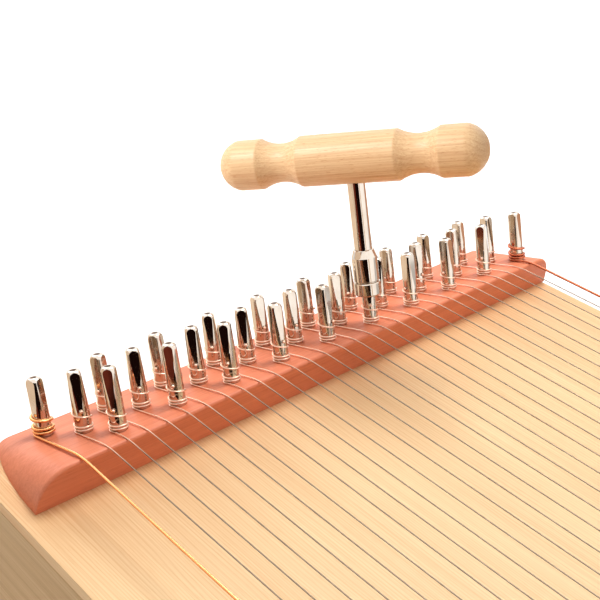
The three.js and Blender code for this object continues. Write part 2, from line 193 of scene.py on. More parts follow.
@dataclass(frozen=True)
class WoodFinish:
    """A wood with growth rings, fine streaks, short flecks and slow changes of colour.

    Where the two bounds of its painted shade differ, its colour is deepened by painted shade up to
    the first along X, in millimetres, and plain from the second on.
    """

    name: str
    light: Colour
    dark: Colour
    ring_spacing: float
    ring_share: float
    streak_share: float
    fleck_share: float
    pith: Pair
    waver: float = 1.5
    streak_length: float = 60.0
    streak_width: float = 0.55
    streak_range: Pair = (0.3, 0.7)
    flecks_a_streak: float = 12.0
    fleck_range: Pair = (0.62, 0.74)
    cloud_size: Triple = (120.0, 25.0, 25.0)
    cloud_range: Pair = (0.25, 0.75)
    cloud_share: float = 0.18
    drift_size: Triple = (90.0, 9.0, 9.0)
    late_wood_from: float = 0.1
    painted_shade_share: float = 0.3
    painted_shade_from: float = 0.0
    painted_shade_to: float = 0.0
    roughness: float = 0.42
    streak_roughness: float = 0.14
    coat: float = 0.15
    coat_roughness: float = 0.25
    shine: float = 0.4
    ring_height: float = 0.3
    fleck_height: float = -0.8
    bump_strength: float = 0.6
    bump_height: float = 0.02

    def material(self, grain: Grain) -> Material:
        """Builds the wood's material.

        Args:
            grain: The direction that the fibres run in.

        Returns:
            The material.
        """
        g = Graph(bpy.data.materials.new(f"{self.name}_{grain.name.lower()}"))
        if grain is Grain.OWN:
            place = g.node("Attribute", attribute_name=OWN_PLACE).outputs["Vector"]
        else:
            place = g.node("TexCoord").outputs["Object"]
        point = g.point(place, grain)
        rings = self.rings(g, point)
        length, width = self.streak_length, self.streak_width
        streaks = g.ramp(g.noise(point, (length, width, width), 3.0), *self.streak_range)
        fleck_size = (length / self.flecks_a_streak, width / 2, width / 2)
        flecks = g.ramp(g.noise(point, fleck_size, 1.0, 7.3), *self.fleck_range)
        cloud = g.ramp(g.noise(point, self.cloud_size, 1.0, 3.1), *self.cloud_range)
        amount = g.math("MULTIPLY", cloud, self.cloud_share)
        for value, share in (
                (flecks, self.fleck_share), (streaks, self.streak_share), (rings, self.ring_share)):
            amount = g.math("MULTIPLY_ADD", value, share, amount)
        # Painted shade: the colour deepens toward one end along X; on the soundboard it stands in for the pin
        # block's shadow and warm bounce light.
        if self.painted_shade_from != self.painted_shade_to:
            painted_shade = g.ramp(g.along(point), self.painted_shade_to, self.painted_shade_from)
            amount = g.math("MULTIPLY_ADD", painted_shade, self.painted_shade_share, amount)
        height = g.math("MULTIPLY_ADD", rings, self.ring_height, g.math(
            "MULTIPLY_ADD", flecks, self.fleck_height, streaks))
        return g.finish(g.node("BsdfPrincipled", {
            "Base Color": g.blend(g.ramp(amount, 0.0, 1.0), self.light, self.dark),
            "Roughness": g.math("MULTIPLY_ADD", streaks, self.streak_roughness, self.roughness),
            "Normal": g.bump(height, self.bump_strength, self.bump_height),
            "Coat Weight": self.coat, "Coat Roughness": self.coat_roughness,
            "Specular IOR Level": self.shine}))

    def rings(self, g: Graph, point: Socket) -> Socket:
        """Draws the growth rings as cylinders round the pith, with a wavering distance.

        Args:
            g: The material's node tree.
            point: Coordinates in millimetres, with the fibres along X.

        Returns:
            The rings' value: 1 on late wood, 0 between.
        """
        across = g.math("SUBTRACT", g.along(point, "Y"), self.pith[0])
        depth = g.math("SUBTRACT", g.along(point, "Z"), self.pith[1])
        distance = g.math("SQRT", g.math(
            "MULTIPLY_ADD", across, across, g.math("MULTIPLY", depth, depth)))
        drift = g.noise(point, self.drift_size, 1.0, 1.7)
        wavering = g.math("MULTIPLY_ADD", drift, self.waver, distance)
        phase = g.math("MULTIPLY", wavering, 2 * math.pi / self.ring_spacing)
        return g.ramp(g.math("SINE", phase), self.late_wood_from, 1.0)


@dataclass(frozen=True)
class MetalFinish:
    """A bare or plated metal with faint smudges and fine handling marks.

    If it has a painted reflection, a pale colour that stands in for the light the metal mirrors, it
    takes that along X up to its bound, in millimetres, and fades to its own over the last fade length of it.
    """

    name: str
    colour: Colour
    worn: Colour
    roughness: float
    smudge_size: Triple = (3.0, 3.0, 6.0)
    smudge_range: Pair = (0.35, 0.75)
    smudge_share: float = 0.35
    smudge_roughness: float = 0.06
    mark_size: Triple = (0.4, 0.4, 5.0)
    mark_strength: float = 0.25
    mark_height: float = 0.0015
    painted_reflection: Colour | None = None
    painted_reflection_until: float = 0.0
    painted_reflection_fade: float = 16.0

    def material(self) -> Material:
        """Builds the metal's material.

        Returns:
            The material.
        """
        g = Graph(bpy.data.materials.new(self.name))
        point = g.point(g.node("TexCoord").outputs["Object"])
        smudge = g.ramp(g.noise(point, self.smudge_size, 3.0), *self.smudge_range)
        marks = g.noise(point, self.mark_size, 2.0, 4.0)
        colour = g.blend(g.math("MULTIPLY", smudge, self.smudge_share), self.colour, self.worn)
        # Painted reflection: a pale warm colour along X stands in for the light that the strings mirror over
        # the pin block.
        if self.painted_reflection is not None:
            own = g.ramp(g.along(point), self.painted_reflection_until - self.painted_reflection_fade, self.painted_reflection_until)
            colour = g.blend(own, self.painted_reflection, colour)
        return g.finish(g.node("BsdfPrincipled", {
            "Base Color": colour, "Metallic": 1.0,
            "Roughness": g.math("MULTIPLY_ADD", smudge, self.smudge_roughness, self.roughness),
            "Normal": g.bump(marks, self.mark_strength, self.mark_height)}))


@dataclass(frozen=True)
class WoundFinish:
    """A bass string's covering of fine wire, drawn along the string from its mapped length, with painted
    shade in the grooves between its turns.
    """

    name: str
    colour: Colour
    # The groove colour is painted shade in the grooves between the wire's turns.
    groove: Colour
    roughness: float = 0.25
    wrap_pitch: float = 0.3
    wrap_strength: float = 0.3
    wrap_height: float = 0.02
    groove_shade_range: Pair = (-1.0, 0.2)

    def material(self) -> Material:
        """Builds the covering's material.

        Returns:
            The material.
        """
        g = Graph(bpy.data.materials.new(self.name))
        place = g.node("TexCoord").outputs["UV"]
        turn = g.math("ADD", g.along(place, "Y"), g.math("DIVIDE", g.along(place), self.wrap_pitch))
        wave = g.math("SINE", g.math("MULTIPLY", turn, 2 * math.pi))
        # The grooves between the turns take the darker colour as painted shade.
        return g.finish(g.node("BsdfPrincipled", {
            "Base Color": g.blend(g.ramp(wave, *self.groove_shade_range), self.groove, self.colour),
            "Metallic": 1.0, "Roughness": self.roughness,
            "Normal": g.bump(wave, self.wrap_strength, self.wrap_height)}))


# The spruce deepens toward the pin block as painted shade, for the block's shadow and warm bounce light.
SPRUCE = WoodFinish(
    name="spruce", light=shade(252, 218, 166), dark=shade(208, 144, 84), ring_spacing=1.05,
    ring_share=0.15, streak_share=0.24, fleck_share=0.1, pith=(-2500.0, -300.0), waver=6.0,
    coat=0.0, painted_shade_from=-270.0, painted_shade_to=-215.0)
RED_WOOD = WoodFinish(
    name="red_wood", light=shade(242, 142, 100), dark=shade(176, 66, 34), ring_spacing=5.0,
    ring_share=0.06, streak_share=0.2, fleck_share=0.16, pith=(40.0, -90.0), streak_length=45.0,
    coat=0.1, roughness=0.5)
MAPLE = WoodFinish(
    name="maple", light=shade(226, 190, 142), dark=shade(176, 128, 82), ring_spacing=4.5,
    ring_share=0.2, streak_share=0.25, fleck_share=0.15, pith=(30.0, -120.0), coat=0.0, shine=0.1)
BEECH = WoodFinish(
    name="beech", light=shade(252, 216, 164), dark=shade(192, 108, 52), ring_spacing=1.9,
    ring_share=0.1, streak_share=0.3, fleck_share=0.34, pith=(3.0, 26.0), waver=6.0,
    streak_length=26.0, streak_width=0.4)
NICKEL = MetalFinish(
    name="nickel", colour=shade(198, 187, 175), worn=shade(174, 155, 136), roughness=0.05,
    mark_height=0.0004)
# The pins' dimples are darkened as a painted dark reflection, not by dirt.
DIMPLE_DARK_REFLECTION = MetalFinish(
    name="dimple_dark_reflection", colour=shade(104, 86, 74), worn=shade(66, 50, 42), roughness=0.3)
# The strings' pale warm colour over the pin block is a painted reflection; beyond it they keep their darker
# steel.
STEEL = MetalFinish(
    name="string_steel", colour=shade(134, 118, 102), worn=shade(104, 88, 76), roughness=0.34,
    painted_reflection=shade(236, 198, 176), painted_reflection_until=-256.0)
# The bass coverings' groove colours are painted shade between the wire's turns.
BRONZE = WoundFinish(
    name="bronze_covering", colour=shade(240, 178, 122), groove=shade(202, 132, 82))
COPPER = WoundFinish(
    name="copper_covering", colour=shade(206, 122, 88), groove=shade(126, 62, 44))


def linked(name: str, data: bpy.types.ID) -> Piece:
    """Makes an object of a mesh, a lamp or a camera, and links it to the scene."""
    made = bpy.data.objects.new(name, data)
    bpy.context.scene.collection.objects.link(made)
    return made


def new_object(name: str, points: np.ndarray, faces: list, sharp_deg: float = SHARP_DEG) -> Piece:
    """Makes an object from points in millimetres.

    Args:
        name: The object's name.
        points: One row of x, y and z for each vertex.
        faces: Vertex numbers of each face.
        sharp_deg: Edges that turn by more than this stay crisp.

    Returns:
        The new object, shaded smooth between its crisp edges.
    """
    mesh = bpy.data.meshes.new(name)
    mesh.from_pydata((np.asarray(points) * MM).tolist(), [], faces)
    mesh.validate()
    made = linked(name, mesh)
    smooth(made, sharp_deg)
    return made


def smooth(piece: Piece, sharp_deg: float) -> None:
    """Shades a mesh smooth between the edges that turn by more than an angle."""
    piece.data.polygons.foreach_set("use_smooth", [True] * len(piece.data.polygons))
    piece.data.set_sharp_from_angle(angle=math.radians(sharp_deg))


def quads(rings: int, sides: int, closed: bool = True) -> list[list[int]]:
    """Joins rings of vertices with quads, which go all the way round where the rings are closed."""
    return [
        [a * sides + k, a * sides + (k + 1) % sides, (a + 1) * sides + (k + 1) % sides, (a + 1) * sides + k]
        for a in range(rings - 1) for k in range(sides if closed else sides - 1)]


def skin(rings: int, sides: int) -> list[list[int]]:
    """Joins closed rings of vertices with quads, and closes both ends."""
    last = (rings - 1) * sides
    return [*quads(rings, sides), list(range(sides))[::-1], list(range(last, last + sides))]


def turned(name: str, profile: list[Pair], sides: int = 64) -> Piece:
    """Turns a profile round Z.

    Args:
        name: The object's name.
        profile: Radius and height pairs in millimetres, upwards.
        sides: How many facets go round.

    Returns:
        The closed turned object.
    """
    angles = np.arange(sides) * 2 * math.pi / sides
    rings = [np.stack([r * np.cos(angles), r * np.sin(angles), np.full(sides, z)], 1) for r, z in profile]
    return new_object(name, np.concatenate(rings), skin(len(profile), sides))


def wire(name: str, path: np.ndarray, radius: float, sides: int = 10) -> Piece:
    """Draws a round wire along a path, mapped by its length in millimetres and its turn.

    Args:
        name: The object's name.
        path: Points in millimetres.
        radius: The wire's radius.
        sides: How many facets go round.

    Returns:
        The closed wire.
    """
    steps = np.diff(path, axis=0)
    lengths = np.linalg.norm(steps, axis=1)
    ways = steps / lengths[:, None]
    tangents = np.vstack([ways[:1], ways[:-1] + ways[1:], ways[-1:]])
    tangents /= np.linalg.norm(tangents, axis=1)[:, None]
    side = np.cross(tangents[0], (0.0, 0.0, 1.0))
    side = side / np.linalg.norm(side) if np.linalg.norm(side) > 0.01 else np.array((1.0, 0.0, 0.0))
    angles = np.arange(sides) * 2 * math.pi / sides
    rings = []
    for point, tangent in zip(path, tangents):
        side = side - tangent * (side @ tangent)
        side /= np.linalg.norm(side)
        rise = np.cross(tangent, side)
        rings.append(point + radius * (np.outer(np.cos(angles), side) + np.outer(np.sin(angles), rise)))
    made = new_object(name, np.concatenate(rings), skin(len(path), sides), WIRE_SHARP_DEG)
    map_wire(made, np.concatenate([[0.0], np.cumsum(lengths)]), sides)
    return made


def map_wire(piece: Piece, lengths: np.ndarray, sides: int) -> None:
    """Maps a wire's faces by the length along it and the share of a turn round it.

    Args:
        piece: The wire.
        lengths: The length at each ring, in millimetres.
        sides: How many vertices each ring has.
    """
    layer = piece.data.uv_layers.new(name="length_and_turn")
    for face in piece.data.polygons:
        wraps = any(piece.data.loops[i].vertex_index % sides == sides - 1 for i in face.loop_indices)
        for i in face.loop_indices:
            ring, k = divmod(piece.data.loops[i].vertex_index, sides)
            layer.data[i].uv = (lengths[ring], 1.0 if wraps and k == 0 else k / sides)


def cut(piece: Piece, *cutters: Piece) -> None:
    """Takes closed cutters out of a piece's mesh, and removes them.

    Args:
        piece: The piece that is cut.
        cutters: The closed objects.
    """
    for cutter in cutters:
        modifier = piece.modifiers.new("cut", "BOOLEAN")
        modifier.operation = "DIFFERENCE"
        modifier.solver = "EXACT"
        modifier.object = cutter
    bpy.context.view_layer.update()
    evaluated = piece.evaluated_get(bpy.context.evaluated_depsgraph_get())
    mesh = bpy.data.meshes.new_from_object(evaluated)
    piece.modifiers.clear()
    piece.data = mesh
    for cutter in cutters:
        bpy.data.objects.remove(cutter)


def ease_edges(piece: Piece, width: float) -> None:
    """Rounds a piece's crisp edges with a bevel.

    Args:
        piece: The mesh object.
        width: The bevel's width in millimetres.
    """
    modifier = piece.modifiers.new("eased_edges", "BEVEL")
    modifier.width = width * MM
    modifier.segments = 3
    modifier.limit_method = "ANGLE"
    modifier.angle_limit = math.radians(35)
    modifier.harden_normals = True


def board(name: str, low: Vector, high: Vector) -> Piece:
    """Makes a board between its lowest and its highest corner, in millimetres."""
    points = [(x, y, z) for z in (low.z, high.z) for y in (low.y, high.y) for x in (low.x, high.x)]
    faces = [[0, 2, 3, 1], [4, 5, 7, 6], [0, 1, 5, 4], [2, 6, 7, 3], [0, 4, 6, 2], [1, 3, 7, 5]]
    return new_object(name, np.array(points), faces)


def laid_at(height: float) -> Matrix:
    """Gives the place that lays a turned piece along X at a height in millimetres."""
    return Matrix.Translation((0, 0, height * MM)) @ Matrix.Rotation(math.pi / 2, 4, "Y")


def turn_in(piece: Piece, place: Matrix) -> None:
    """Turns a piece's vertices into place, and keeps where they were for its grain.

    Args:
        piece: The piece, which stays at the origin.
        place: Where it goes.
    """
    own = piece.data.attributes.new(OWN_PLACE, "FLOAT_VECTOR", "POINT")
    own.data.foreach_set("vector", [c for vertex in piece.data.vertices for c in vertex.co])
    piece.data.transform(place)


def settle(piece: Piece, body: str, slot: Slot, material: Material, *nodes: str) -> None:
    """Gives a piece its material, its body and the CAD nodes that it stands for.

    Args:
        piece: The finished piece.
        body: The CAD body that it moves with.
        slot: The record's material slot; not used.
        material: Its material.
        nodes: The CAD nodes that it stands for.
    """
    piece.data.materials.clear()
    piece.data.materials.append(material)
    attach(piece, body)
    if nodes:
        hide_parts(*nodes)
    log.info("%s: %d faces", piece.name, len(piece.data.polygons))


def box_mm(node: str) -> tuple[Vector, Vector]:
    """Gives a CAD node's lowest and highest corners in millimetres."""
    low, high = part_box(node)
    return low / MM, high / MM


def arc(centre: np.ndarray, radius: float, start: float, end: float, steps: int) -> np.ndarray:
    """Draws an arc in the side view from one angle to another, as rows of x and z."""
    angles = np.linspace(start, end, steps + 1)
    return np.stack([centre[0] + radius * np.cos(angles), centre[1] + radius * np.sin(angles)], 1)


def tangent_angle(first: np.ndarray, first_radius: float, second: np.ndarray,
                  second_radius: float) -> float:
    """Finds the line that lies on top of two circles in the side view.

    Args:
        first: The centre of the circle with the lower x.
        first_radius: Its radius.
        second: The other circle's centre.
        second_radius: Its radius.

    Returns:
        The angle of the line's upward normal.
    """
    gap = second - first
    tilt = math.acos((first_radius - second_radius) / float(np.linalg.norm(gap)))
    return math.atan2(gap[1], gap[0]) + tilt


@dataclass
class SoundBox:
    """The box of spruce and maple under the strings."""

    hole_diameter: float = 54.0
    hole_sides: int = 96
    glue_line: float = 0.29
    edge: float = 0.6
    overrun: float = 10.0

    def build(self, pin_cutter: Piece) -> None:
        """Builds the outer boards, and gives the planks, linings and braces their wood.

        Args:
            pin_cutter: The pins' bores, which are taken out of the soundboard.
        """
        self.soundboard(pin_cutter)
        along = MAPLE.material(Grain.ALONG_X)
        for node, corner, axis, growth in (
                ("back", 1, 2, self.glue_line), ("near_rim", 1, 1, self.glue_line),
                ("far_rim", 0, 1, -self.glue_line)):
            corners = box_mm(node)
            corners[corner][axis] += growth
            made = board(f"{node}_board", *corners)
            ease_edges(made, self.edge)
            settle(made, "sound_box", Slot.MAPLE, along, node)
        inside = {
            "lining": along, "plank": MAPLE.material(Grain.ALONG_Y),
            "brace": SPRUCE.material(Grain.ALONG_Y)}
        for name, node in frame["nodes"].items():
            for kind, wood in inside.items():
                if kind in name:
                    node.material_slots[0].material = wood

    def soundboard(self, pin_cutter: Piece) -> None:
        """Builds the soundboard with its round hole.

        Args:
            pin_cutter: The pins' bores.
        """
        low, high = box_mm("soundboard")
        low.z -= self.glue_line
        made = board("soundboard_spruce", low, high)
        hole = turned("hole_cutter", [
            (self.hole_diameter / 2, low.z - self.overrun),
            (self.hole_diameter / 2, high.z + self.overrun)], self.hole_sides)
        cut(made, hole, pin_cutter)
        smooth(made, SHARP_DEG)
        ease_edges(made, self.edge)
        settle(made, "sound_box", Slot.SPRUCE, SPRUCE.material(Grain.ALONG_X), "soundboard")


@dataclass
class WedgeBlocks:
    """The red wood blocks at both ends, whose high edges carry the strings."""

    front_height: float = 12.0
    near_end_radius: float = 12.0
    far_end_radius: float = 6.0
    edge_radius: float = 1.0
    seat: float = 0.29
    edge_steps: int = 8
    end_steps: int = 14
    sharp_deg: float = 35.0

    def __post_init__(self) -> None:
        """Takes the blocks' places from the frame."""
        self.low, self.high = box_mm("pin_block")

    def surface(self, x: float) -> float:
        """Gives the slope's height over the block's base at a place along the strings."""
        return self.front_height - (self.high.x - x) * math.tan(SLOPE)

    def edge_centre(self) -> np.ndarray:
        """Gives the centre of the string edge's rounding, as x and z."""
        x = self.high.x - self.edge_radius
        return np.array([x, self.low.z + self.surface(x) - self.edge_radius / math.cos(SLOPE)])

    def section(self, drop: float) -> np.ndarray:
        """Draws the block's side view where its top has dropped toward an end.

        Args:
            drop: How far the slope lies under its full height.

        Returns:
            Rows of x and height, from the back's foot over the top to the front's foot.
        """
        front_x, front = self.high.x, max(self.front_height - drop, 0.0)
        toe_x = max(self.low.x, front_x - front / math.tan(SLOPE))
        toe = max(front - (front_x - toe_x) * math.tan(SLOPE), 0.0)
        radius = min(self.edge_radius, 0.6 * front)
        centre = (front_x - radius, front - radius * math.tan(SLOPE) - radius / math.cos(SLOPE))
        fillet = arc(centre, radius, math.pi / 2 + SLOPE, 0.0, self.edge_steps)
        return np.vstack([[toe_x, -self.seat], [toe_x, toe], fillet, [front_x, -self.seat]])

    def stations(self) -> list[Pair]:
        """Gives the places across the strings where a section stands, with the top's drop."""
        angles = np.arange(self.end_steps + 1) * math.pi / 2 / self.end_steps
        steps = list(zip(1 - np.sin(angles), (1 - np.cos(angles)) / math.cos(SLOPE)))
        near, far = self.near_end_radius, self.far_end_radius
        return [(self.low.y + reach * near, drop * near) for reach, drop in steps[::-1]] + [
            (self.high.y - reach * far, drop * far) for reach, drop in steps]

    def block(self, name: str, mirrored: bool) -> Piece:
        """Builds one block.

        Args:
            name: The object's name.
            mirrored: Whether it is the tail's.

        Returns:
            The block.
        """
        sections = []
        for y, drop in self.stations():
            outline = self.section(drop)
            x = -outline[:, 0] if mirrored else outline[:, 0]
            sections.append(np.stack([x, np.full(len(x), y), outline[:, 1] + self.low.z], 1))
        faces = skin(len(sections), len(sections[0]))
        if not mirrored:
            faces = [face[::-1] for face in faces]
        return new_object(name, np.concatenate(sections), faces, self.sharp_deg)

    def build(self, pin_cutter: Piece, rod_cutter: Piece) -> None:
        """Builds both blocks with their bores.

        Args:
            pin_cutter: The pins' bores.
            rod_cutter: The hitch rod's groove.
        """
        wood = RED_WOOD.material(Grain.ALONG_Y)
        for name, cutter in (("pin_block", pin_cutter), ("tail_block", rod_cutter)):
            made = self.block(f"{name}_wood", name == "tail_block")
            cut(made, cutter)
            smooth(made, self.sharp_deg)
            made.modifiers.new("flat_faces_lead", "WEIGHTED_NORMAL").keep_sharp = True
            settle(made, "sound_box", Slot.RED_WOOD, wood, name)


@dataclass(frozen=True)
class PinShape:
    """A nickel-plated pin: a round shank, a head with four long flats, and a domed top."""

    proud: float
    sunk: float = 21.5
    diameter: float = 5.2
    top_diameter: float = 5.1
    flat_width: float = 4.2
    flat_foot: float = 6.6
    dome_height: float = 1.9
    dome_diameter: float = 2.5
    dimple_diameter: float = 2.0
    dimple_depth: float = 0.5
    dimple_step: float = 0.7
    # How deep the dimple's painted dark reflection reaches.
    dark_reflection_depth: float = 0.6
    point_height: float = 1.2
    point_diameter: float = 3.6
    hole_height: float = 7.2
    hole_diameter: float = 1.2
    hole_sides: int = 20
    sharp_deg: float = 22.0
    shank_steps: int = 12
    dome_steps: int = 8
    flat_steps: int = 5
    corner_steps: int = 6
    least_reach: float = 0.02

    def flat_at(self, height: float) -> float:
        """Gives half the distance between opposite flats at a height."""
        share = (height - self.flat_foot) / (self.proud - self.dome_height - self.flat_foot)
        return (self.diameter - (self.diameter - self.flat_width) * share) / 2

    def profile(self) -> list[Pair]:
        """Draws the pin's radius by height, from the point up to the dimple.

        Returns:
            Radius and height pairs.
        """
        shoulder = self.proud - self.dome_height
        radius, top, crown = self.diameter / 2, self.top_diameter / 2, self.dome_diameter / 2
        shank = [(radius + (top - radius) * s, self.flat_foot + (shoulder - self.flat_foot) * s)
                 for s in ((i / self.shank_steps) ** 2 for i in range(self.shank_steps + 1))]
        dome = [(crown + (top - crown) * math.cos(t), shoulder + self.dome_height * math.sin(t))
                for t in (i * math.pi / 2 / self.dome_steps for i in range(1, self.dome_steps + 1))]
        dimple = self.dimple_diameter / 2
        return [
            (CAP_RADIUS, -self.sunk), (self.point_diameter / 2, -self.sunk),
            (radius, -self.sunk + self.point_height), (radius, 0.0), *shank, *dome, (dimple, self.proud),
            (dimple * self.dimple_step, self.proud - self.dimple_depth * self.dimple_step),
            (CAP_RADIUS, self.proud - self.dimple_depth)]

    def ring(self, radius: float, height: float) -> np.ndarray:
        """Draws one ring of the pin, with its flats and the round corners between them.

        Args:
            radius: The corners' radius.
            height: The ring's height.

        Returns:
            The ring's points.
        """
        half = self.flat_at(height) if height > self.flat_foot else radius
        reach = math.acos(min(half / radius, math.cos(self.least_reach))) if half < radius else (
            self.least_reach)
        flat = [math.atan(math.tan(reach) * (2 * i / self.flat_steps - 1)) for i in range(self.flat_steps)]
        corner = [reach + (math.pi / 2 - 2 * reach) * i / self.corner_steps for i in range(self.corner_steps)]
        points = []
        for quarter in np.arange(4) * math.pi / 2:
            points += [(angle + quarter, radius * math.cos(reach) / math.cos(angle)) for angle in flat]
            points += [(angle + quarter, radius) for angle in corner]
        return np.array([(d * math.cos(a), d * math.sin(a), height) for a, d in points])

    def build(self, name: str) -> Piece:
        """Builds the pin about its own axis, with its hole along X.

        Args:
            name: The object's name.

        Returns:
            The pin.
        """
        rings = [self.ring(radius, height) for radius, height in self.profile()]
        pin = new_object(name, np.concatenate(rings), skin(len(rings), len(rings[0])))
        hole = turned("pin_hole_cutter", [
            (self.hole_diameter / 2, -self.diameter), (self.hole_diameter / 2, self.diameter)],
            self.hole_sides)
        hole.matrix_world = laid_at(self.hole_height)
        cut(pin, hole)
        smooth(pin, self.sharp_deg)
        return pin

    def paint_dark_reflection(self, mesh: bpy.types.Mesh, dark_reflection: Material) -> None:
        """Darkens the dimple in the dome of a finished pin, as a painted dark reflection.

        Args:
            mesh: The pin's mesh.
            dark_reflection: The dimple's material.
        """
        mesh.materials.append(dark_reflection)
        for face in mesh.polygons:
            x, y, z = face.center / MM
            if math.hypot(x, y) < self.dimple_diameter / 2 and z > self.proud - self.dark_reflection_depth:
                face.material_index = 1


@dataclass
class Stringing:
    """The tuning pins and the strings that they hold, from the pins' holes to the hitch rod."""

    blocks: WedgeBlocks
    pins: tuple[PinShape, ...] = (PinShape(proud=18.5), PinShape(proud=19.6), PinShape(proud=20.3))
    bore_slack: float = 0.06
    bore_sides: int = 32
    plain_diameter: float = 0.42
    bass_diameter: float = 0.92
    bend_radius: float = 26.0
    bend_steps: int = 10
    winding_foot: float = 0.1
    plain_pitch: float = 0.95
    bass_pitch: float = 1.15
    tight_turns: float = 2.0
    whole_turns: float = 3.0
    last_turn_shares: tuple[float, ...] = (
        0.43, 0.32, 0.37, 0.42, 0.32, 0.38, 0.42, 0.36, 0.38, 0.36,
        0.35, 0.28, 0.29, 0.30, 0.22, 0.19, 0.33, 0.36, 0.38, 0.36,
        0.49, 0.45, 0.28, 0.48, 0.50, 0.44, 0.42, 0.46, 0.50, 0.48)
    touch: float = 0.02
    turn_steps: int = 28
    start_share: float = 0.09
    start_reach: float = 1.2
    start_steps: int = 8
    end_inset: float = 0.15
    end_sides: int = 16
    bead_radius: float = 0.5
    bead_rings: int = 8
    rod_diameter: float = 4.0
    groove_overhang: float = 0.2
    rod_sides: int = 48
    rod_chamfer: float = 0.4
    rod_last_angle: float = -0.3
    rod_steps: int = 14
    twist_turns: float = 5.0
    twist_pitch: float = 1.25
    twist_steps: int = 16
    twist_sides: int = 8
    twist_start: float = 3.0
    twist_rise: float = 0.75
    rise_steps: int = 6

    def stand(self, index: int) -> Matrix:
        """Gives the frame of a pin: Z along it, X up the slope, in metres.

        Args:
            index: The pin's number from the near end, from 0.

        Returns:
            The frame's matrix.
        """
        place = Vector(PIN_JOINTS[f"pin_{index + 1:02d}_turn"]["pos_m"])
        turn = Matrix(((math.cos(SLOPE), 0, -math.sin(SLOPE)), (0, 1, 0),
                       (math.sin(SLOPE), 0, math.cos(SLOPE))))
        return Matrix.Translation(place) @ turn.to_4x4()

    def diameter(self, index: int) -> float:
        """Gives a string's diameter: the outer two are the bass strings."""
        return self.bass_diameter if index in (0, STRING_COUNT - 1) else self.plain_diameter

    def turns(self, index: int) -> float:
        """Gives how often a string goes round its pin."""
        return self.whole_turns + self.last_turn_shares[index]

    def hole_angle(self, index: int) -> float:
        """Gives the angle of a pin's hole, on the side where its string comes out."""
        return -math.pi / 2 - 2 * math.pi * self.turns(index)

    def rod_centre(self) -> np.ndarray:
        """Gives the hitch rod's centre, as x and z."""
        x = box_mm("plain_strings")[1].x - self.rod_diameter / 2
        return np.array([x, self.blocks.low.z + self.blocks.surface(-x)])

    def pin_cutter(self, name: str) -> Piece:
        """Builds all the pins' bores as one object.

        Args:
            name: The object's name.

        Returns:
            The bores, which don't touch one another.
        """
        radius, depth = self.pins[0].diameter / 2 + self.bore_slack, self.pins[0].sunk
        bore = turned("bore", [(radius, -depth - 1), (radius, depth)], self.bore_sides)
        points = np.array([vertex.co / MM for vertex in bore.data.vertices])
        bpy.data.objects.remove(bore)
        firsts = np.arange(STRING_COUNT) * len(points)
        return new_object(
            name, np.vstack([self.placed(index, points) for index in range(STRING_COUNT)]),
            [[int(first) + i for i in face] for first in firsts for face in skin(2, self.bore_sides)])

    def rod(self, name: str, slack: float = 0.0, overhang: float = 0.0) -> Piece:
        """Builds the hitch rod, or the groove that it lies in.

        Args:
            name: The object's name.
            slack: How much thicker than the rod it is all round.
            overhang: How much longer than the rod it is at each end.

        Returns:
            The rod, turned into place.
        """
        low, high = box_mm("plain_strings")
        start, end = low.y - overhang, high.y + overhang
        radius = self.rod_diameter / 2 + slack
        made = turned(name, [
            (radius - self.rod_chamfer, start), (radius, start + self.rod_chamfer),
            (radius, end - self.rod_chamfer), (radius - self.rod_chamfer, end)], self.rod_sides)
        x, z = self.rod_centre() * MM
        made.data.transform(Matrix.Translation((x, 0, z)) @ Matrix.Rotation(-math.pi / 2, 4, "X"))
        return made

    def placed(self, index: int, points: np.ndarray) -> np.ndarray:
        """Moves points from a pin's own frame into the model's, in millimetres."""
        stand = self.stand(index)
        return np.array([stand @ Vector(point * MM) / MM for point in points])

    def winding(self, index: int) -> np.ndarray:
        """Draws a string's turns round its pin, from the hole down to where it leaves.

        Args:
            index: The string's number.

        Returns:
            Points in the pin's own frame, in millimetres.
        """
        half, turns = self.diameter(index) / 2, self.turns(index)
        pitch = self.bass_pitch if 2 * half == self.bass_diameter else self.plain_pitch
        reach = self.pins[0].diameter / 2 + half + self.touch
        foot = self.winding_foot + half
        open_height = foot + self.tight_turns * pitch
        open_pitch = (self.pins[0].hole_height - open_height) / (turns - self.tight_turns)
        count = round((turns - self.start_share) * self.turn_steps)
        done = np.linspace(self.start_share, turns, count + 1)
        left = turns - done
        angles = self.hole_angle(index) + 2 * math.pi * done
        heights = np.where(
            left <= self.tight_turns, foot + left * pitch,
            open_height + (left - self.tight_turns) * open_pitch)
        return np.stack([reach * np.cos(angles), reach * np.sin(angles), heights], 1)

    def start_bend(self, index: int, after: np.ndarray) -> np.ndarray:
        """Draws the bend from a pin's hole to its winding.

        Args:
            index: The string's number.
            after: The winding's first point, in the pin's own frame.

        Returns:
            Points in the pin's own frame, in millimetres, up to the winding's first point.
        """
        angle = self.hole_angle(index)
        out = np.array([math.cos(angle), math.sin(angle), 0.0])
        lift = np.array([0.0, 0.0, self.pins[0].hole_height])
        mouth = out * (self.pins[0].diameter / 2 + self.touch) + lift
        corner = out * (float(np.linalg.norm(after[:2])) * self.start_reach) + lift
        return np.array([
            (1 - t) ** 2 * mouth + 2 * t * (1 - t) * corner + t * t * after
            for t in np.linspace(0.0, 1.0, self.start_steps + 1)])

